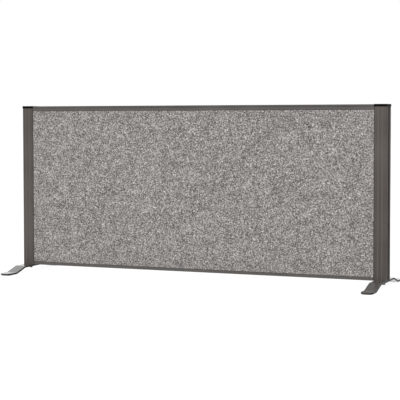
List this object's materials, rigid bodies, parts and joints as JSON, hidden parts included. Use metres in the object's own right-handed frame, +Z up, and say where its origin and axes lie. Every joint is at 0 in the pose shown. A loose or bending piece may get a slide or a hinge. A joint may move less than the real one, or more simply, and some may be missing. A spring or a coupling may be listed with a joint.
{
  "type": "acoustic divider screen",
  "caption": "Low free-standing acoustic divider screen: felt-covered panel in an aluminium frame with two posts on bent steel bridge feet.",
  "frame": {"origin": "on the floor, under the middle of the screen's length and depth", "axes": "+X along the screen to its right-hand end seen from the front, -Y towards the front, +Z up"},
  "size_m": [1.6024, 0.465, 0.708],
  "materials": {
    "post_coat": "satin powder coat, warm dark grey",
    "rail_coat": "satin powder coat, warm dark grey",
    "cover_coat": "satin powder coat, warm dark grey",
    "cap_plastic": "moulded, fine matt",
    "felt": "melange wool felt, warm grey with light and dark flecks",
    "absorber_fleece": "bonded polyester fleece",
    "board": "plain fibreboard",
    "hook_tape": "hook-and-loop tape",
    "foot_coat": "gloss dark grey lacquer on steel",
    "pad_rubber": "matt rubber",
    "zinc_steel": "zinc plated",
    "black_steel": "black oxide",
    "key_metal": "bare"
  },
  "bodies": {
    "root": {"left_post": "post_coat", "right_post": "post_coat", "top_rail": "rail_coat", "bottom_rail": "rail_coat", "top_cover": "cover_coat", "left_post_cap": "cap_plastic", "right_post_cap": "cap_plastic", "front_felt": "felt", "rear_felt": "felt", "front_absorber": "absorber_fleece", "rear_absorber": "absorber_fleece", "core_board": "board", "front_hook_pads": "hook_tape", "rear_hook_pads": "hook_tape", "left_foot": "foot_coat", "right_foot": "foot_coat", "left_foot_pads": "pad_rubber", "right_foot_pads": "pad_rubber", "left_foot_washer": "black_steel", "right_foot_washer": "black_steel", "left_foot_screw": "black_steel", "right_foot_screw": "black_steel", "left_foot_dowels": "zinc_steel", "right_foot_dowels": "zinc_steel", "left_key_screws": "zinc_steel", "right_key_screws": "zinc_steel", "top_rail_screws": "zinc_steel", "bottom_rail_screws": "zinc_steel", "left_top_key": "key_metal", "right_top_key": "key_metal", "left_bottom_key": "key_metal", "right_bottom_key": "key_metal"}
  },
  "joints": []
}
